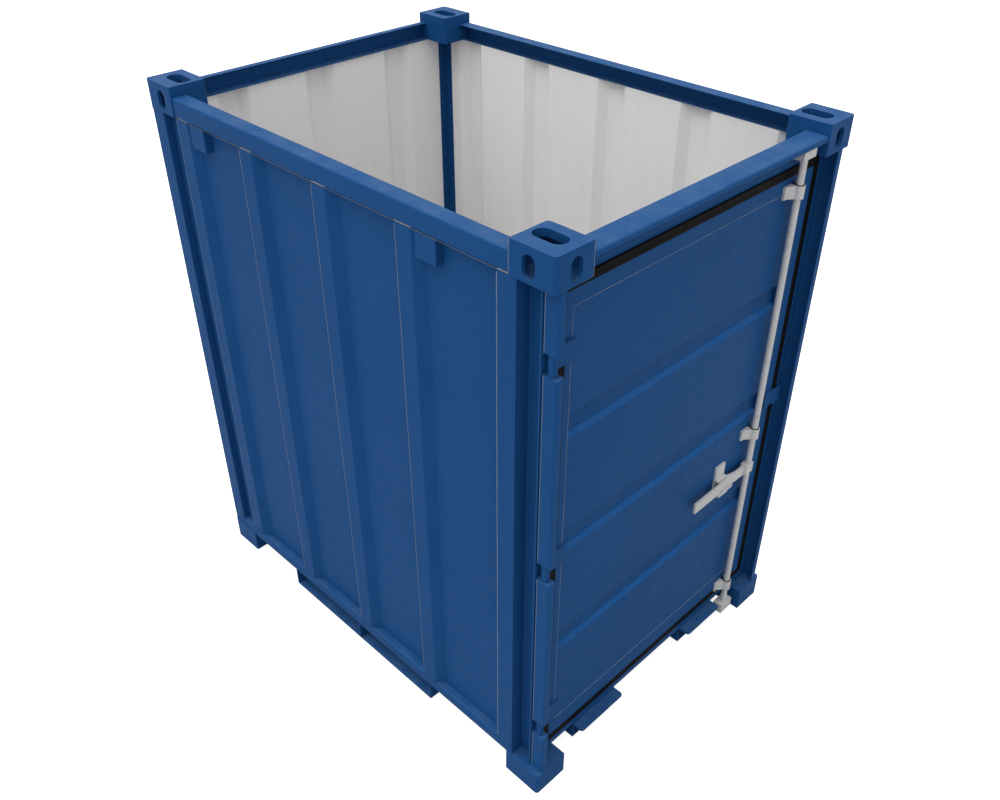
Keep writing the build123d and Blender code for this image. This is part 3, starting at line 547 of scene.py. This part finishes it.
def outer_skin(node, across, outward):
    """Plan points of a corrugated wall's outer face, read at its foot."""
    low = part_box(node)[0].z
    along = 1 - across
    foot = [v.co for v in nodes[node].data.vertices if abs(v.co.z - low) < CORNER_TOLERANCE]
    crest = max(co[across] * outward for co in foot)
    corners = set()
    for co in foot:
        inward = crest - co[across] * outward
        if min(inward, abs(inward - CREST_DEPTH)) < CORNER_TOLERANCE:
            corners.add((round(co[along], CORNER_DECIMALS), round(co[across], CORNER_DECIMALS)))
    points = sorted(corners)
    if across == 0:
        points = [(second, first) for first, second in points]
    return points


def group_ends(values, gap):
    """The last value of each group in a sorted list, where groups lie more than a gap apart."""
    return [one for one, two in zip(values, values[1:] + [math.inf]) if abs(two - one) > gap]


blue = paint("blue_paint")
left_paint = paint("left_wall_paint", inner_side=("Y", 1.0))
right_paint = paint("right_wall_paint", inner_side=("Y", -1.0))
end_paint = paint("rear_wall_paint", inner_side=("X", 1.0))
# The door panel's paint has painted light and shade on its rib slopes
door_paint = paint("door_panel_paint", inner_side=("X", -1.0), with_painted_rib_light=True)
zinc_coat = zinc("zinc")
seal = rubber("door_seal")
# Pale lines that paint the highlights along edges
painted_highlight_line = pale_line_finish("pale_line_finish", PAINTED_HIGHLIGHT_PALE, PAINTED_HIGHLIGHT_DIM)
dull_line = pale_line_finish("dull_line_finish", DULL_LINE_TONE, DULL_LINE_DARK_TONE)
ply = plywood("plywood")
bare_steel = steel("steel")

special = {
    "left_wall": left_paint,
    "right_wall": right_paint,
    "rear_wall": end_paint,
    "door_panel": door_paint,
    "door_gasket": seal,
    "floor_board": ply,
    "hinge_pins": bare_steel,
}
for node in ZINC_PIECES:
    special[node] = zinc_coat
for node in nodes:
    coat(node, special.get(node, blue))


def wall_seams():
    """Weld beads at the head and foot of the corrugated walls."""
    inset = SHEET_WELD_RADIUS / 2
    for node, across, outward in WALLS:
        low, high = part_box(node)
        skin = outer_skin(node, across, outward)
        foot = [(x, y, low.z + inset) for x, y in skin]
        head = [(x, y, high.z - inset) for x, y in skin]
        beads(f"{node}_seams", [foot, head], blue, "frame", SHEET_WELD_RADIUS)


def crest_highlight_lines():
    """Painted highlights, as pale lines down the left wall's crests on the edge away from the door,
    widest on the first.
    """
    low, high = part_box("left_wall")
    skin = outer_skin(*LEFT_WALL)
    crest = min(y for x, y in skin)
    edges = sorted((x for x, y in skin if abs(y - crest) < CORNER_TOLERANCE), reverse=True)
    runs = [
        [(x, crest, low.z + WALL_LINE_END), (x, crest, high.z - WALL_LINE_END)]
        for x in group_ends(edges, CREST_REACH)
    ]
    lines("first_crest_painted_highlight", runs[:1], painted_highlight_line, "frame", FIRST_LINE_RADIUS)
    lines("wall_painted_highlights", runs[1:], painted_highlight_line, "frame", LINE_RADIUS)


def casting_painted_highlights():
    """Painted highlights, as pale lines, where the near top casting meets the side rail and the header.
    """
    low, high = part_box("top_casting_door_left")
    inset = FIRST_LINE_RADIUS
    corners = ((low.x - inset, low.y + inset), (high.x - inset, high.y + inset))
    runs = [[(x, y, low.z + CASTING_LINE_END), (x, y, high.z - CASTING_LINE_END)] for x, y in corners]
    lines("casting_painted_highlights", runs, painted_highlight_line, "frame", FIRST_LINE_RADIUS)


def side_rail_line():
    """A dull line along the lower edge of the left top rail."""
    low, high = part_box("left_top_rail")
    run = [(low.x, low.y, low.z), (high.x, low.y, low.z)]
    lines("side_rail_line", [run], dull_line, "frame", LINE_RADIUS)


def tube_painted_highlights():
    """Painted highlights, as pale lines down the lengths of the hinge tube, broken at the hinges."""
    low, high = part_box("hinge_post_tubes")
    x = low.x + TUBE_CORNER
    levels = [low.z]
    for blade in HINGE_BLADES:
        blade_low, blade_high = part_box(blade)
        levels += [blade_low.z - HINGE_PLAY, blade_high.z + HINGE_PLAY]
    levels.append(high.z)
    runs = [[(x, low.y, start), (x, low.y, end)] for start, end in zip(levels[::2], levels[1::2])]
    lines("tube_painted_highlights", runs, painted_highlight_line, "frame", LINE_RADIUS)


def panel_painted_highlights():
    """A painted highlight, as a pale line along the head, the hinge side and the foot of the door
    panel.
    """
    low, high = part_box("door_panel")
    path = [
        (high.x, high.y, high.z),
        (high.x, low.y, high.z),
        (high.x, low.y, low.z),
        (high.x, high.y, low.z),
    ]
    lines("door_panel_painted_highlights", [path], painted_highlight_line, "door", LINE_RADIUS)


def gasket_lips():
    """The seal's outer lips, over the edge of the leaf and the face of the header."""
    low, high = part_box("door_gasket")
    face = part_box("door_left_stile")[1].x
    inner_low = (low.y + LIP_INWARD, low.z + LIP_INWARD)
    inner_high = (high.y - LIP_INWARD, high.z - TOP_LIP_INWARD)
    outer_low = (low.y - LIP_OUTWARD, low.z - LIP_OUTWARD)
    outer_high = (high.y + LIP_OUTWARD, high.z + TOP_LIP_OUTWARD)
    corners = (
        (inner_low[0], inner_low[1], outer_low[0], outer_low[1]),
        (inner_high[0], inner_low[1], outer_high[0], outer_low[1]),
        (inner_high[0], inner_high[1], outer_high[0], outer_high[1]),
        (inner_low[0], inner_high[1], outer_low[0], outer_high[1]),
    )
    shape = bmesh.new()
    sections = []
    for start_y, start_z, end_y, end_z in corners:
        sections.append([
            shape.verts.new((
                face + forward,
                start_y + (end_y - start_y) * share,
                start_z + (end_z - start_z) * share,
            ))
            for share, forward in LIP_SECTION
        ])
    close_loop(shape, sections)
    new_piece("door_gasket_lips", shape, seal, "door")


def rod_painted_shade_rings():
    """Dark rings of painted shade on the tops of the brackets, where the lock rod enters them."""
    low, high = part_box("lock_rod")
    middle = (low + high) / 2
    radius = (high.y - low.y) / 2
    vertices = nodes["lock_brackets"].data.vertices
    heights = sorted({round(v.co.z, CORNER_DECIMALS) for v in vertices})
    places = [(middle.x, middle.y, top) for top in group_ends(heights, BRACKET_SPACING)]
    # Black rings that paint the shade round the rod at each bracket top
    rings("rod_painted_shade_rings", places, radius, radius + SHADE_RING_WIDTH, SHADE_RING_HEIGHT, seal, "door")


def hinge_washers():
    """Steel washers under and over each hinge blade."""
    places = []
    for blade in HINGE_BLADES:
        low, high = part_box(blade)
        for level in (low.z - WASHER_HEIGHT - WASHER_PLAY, high.z + WASHER_PLAY):
            places.append((*PIN_PLACE, level))
    rings(
        "hinge_washers", places, WASHER_BORE_RADIUS, WASHER_RADIUS, WASHER_HEIGHT,
        bare_steel, "frame",
    )


def frame_welds():
    """Weld beads at the heads and feet of three posts, on their outer faces."""
    tube_low, tube_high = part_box("hinge_post_tubes")
    left_low, left_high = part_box("rear_post_left")
    right_low, right_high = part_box("rear_post_right")
    routes = (
        (tube_low.x, tube_low.y, tube_high.x, tube_high.y),
        (left_high.x, left_low.y, left_low.x, left_high.y),
        (right_high.x, right_high.y, right_low.x, right_low.y),
    )
    runs = []
    for start_x, start_y, end_x, end_y in routes:
        for level in (tube_low.z, tube_high.z):
            runs.append([(start_x, start_y, level), (end_x, start_y, level)])
            runs.append([(end_x, start_y, level), (end_x, end_y, level)])
    beads("frame_welds", runs, blue, "frame")


def blade_welds():
    """Weld beads round the hinge blades where they lie on the door leaf."""
    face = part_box("door_left_stile")[1].x
    runs = []
    for blade in HINGE_BLADES:
        low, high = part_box(blade)
        for level in (low.z, high.z):
            runs.append([(face, high.y - BLADE_LAP, level), (face, high.y, level)])
        runs.append([(face, high.y, low.z), (face, high.y, high.z)])
    beads("hinge_blade_welds", runs, blue, "door", SHEET_WELD_RADIUS)


def floor_screws():
    """Rows of countersunk screw heads along the floor."""
    low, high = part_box("floor_board")
    places = []
    for row in range(FLOOR_ROWS):
        x = low.x + (high.x - low.x) * (row + 0.5) / FLOOR_ROWS
        for column in range(FLOOR_COLUMNS):
            y = low.y + (high.y - low.y) * (column + 0.5) / FLOOR_COLUMNS
            places.append((x + rng.uniform(-SCREW_STRAY, SCREW_STRAY), y, high.z - SCREW_SUNK))
    rings("floor_screws", places, 0.0, SCREW_RADIUS, SCREW_HEIGHT, bare_steel, "frame")


def studio_floor():
    """A matt floor, made pure white for the camera alone."""
    shape = bmesh.new()
    bmesh.ops.create_grid(shape, x_segments=1, y_segments=1, size=FLOOR_REACH)
    mesh = new_mesh("studio_floor", shape)
    finish = Finish("studio_floor")
    finish.shader.inputs["Emission Color"].default_value = WHITE
    seen = finish.nodes.new("ShaderNodeLightPath").outputs["Is Camera Ray"]
    finish.feed(finish.shader.inputs["Emission Strength"], finish.times(seen, FLOOR_LIFT))
    mesh.materials.append(finish.done(FLOOR_GREY, FLOOR_ROUGHNESS, gloss=0.0))
    floor = new_object("studio_floor", mesh)


def studio_light():
    """Even light from a white sky, and a wide soft sun."""
    world = bpy.data.worlds.new("studio")
    world.use_nodes = True
    background = world.node_tree.nodes["Background"]
    background.inputs["Color"].default_value = WHITE
    background.inputs["Strength"].default_value = SKY_LIGHT
    bpy.context.scene.world = world

    light = bpy.data.lights.new("overhead", "SUN")
    light.energy = SUN_LIGHT
    light.angle = math.radians(SUN_SPREAD)
    lamp = new_object("overhead", light)
    lamp.rotation_euler = Vector(SUN_TOWARDS).to_track_quat("Z", "Y").to_euler()


def photo_camera():
    """The photograph's camera, and a view that leaves the colours as they are."""
    lens = bpy.data.cameras.new("camera")
    lens.lens = CAMERA_LENS
    camera = new_object("camera", lens)
    camera.location = CAMERA_PLACE
    camera.rotation_euler = [math.radians(turn) for turn in CAMERA_TURN]
    bpy.context.scene.camera = camera
    bpy.context.scene.view_settings.view_transform = "Standard"


wall_seams()
crest_highlight_lines()
casting_painted_highlights()
side_rail_line()
tube_painted_highlights()
panel_painted_highlights()
gasket_lips()
rod_painted_shade_rings()
hinge_washers()
frame_welds()
blade_welds()
floor_screws()
studio_floor()
studio_light()
photo_camera()
